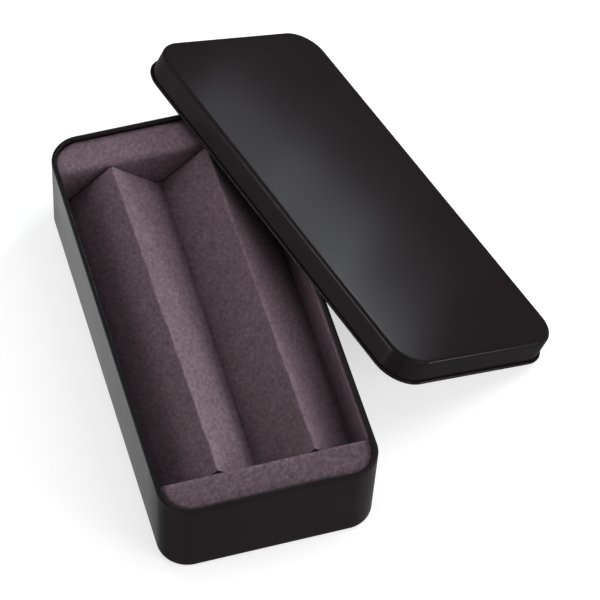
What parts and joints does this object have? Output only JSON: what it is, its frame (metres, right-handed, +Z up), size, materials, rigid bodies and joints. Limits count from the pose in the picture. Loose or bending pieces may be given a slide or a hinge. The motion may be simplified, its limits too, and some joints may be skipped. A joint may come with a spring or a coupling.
{
  "type": "drafting instrument tin",
  "caption": "Rectangular black lacquered steel tin with rounded corners, a loose lid leaning on its rim, and a ridged foam bed between end pads that holds drawing and writing instruments.",
  "frame": {"origin": "centre of the base's underside, on the table", "axes": "+X across the base towards the lid, +Y along the base towards the rear pad, +Z up"},
  "size_m": [0.1692, 0.2215, 0.0497],
  "materials": {
    "base_lacquer": "satin",
    "lid_lacquer": "satin",
    "foam": "matte, fine nap",
    "grey_board": "matte",
    "tape": "matte"
  },
  "bodies": {
    "tin": {"base_shell": "base_lacquer", "board_tape": "tape", "insert_board": "grey_board", "bed_slab": "foam", "left_ridge": "foam", "right_ridge": "foam", "rear_pad": "foam", "front_pad": "foam", "left_wall_strip": "foam", "right_wall_strip": "foam"},
    "lid": {"lid_shell": "lid_lacquer"}
  },
  "joints": [
    {"name": "lid_lift", "type": "slide", "parent": "tin", "child": "lid", "axis": [0, 0, 1], "range_m": [0, 0.1]}
  ]
}
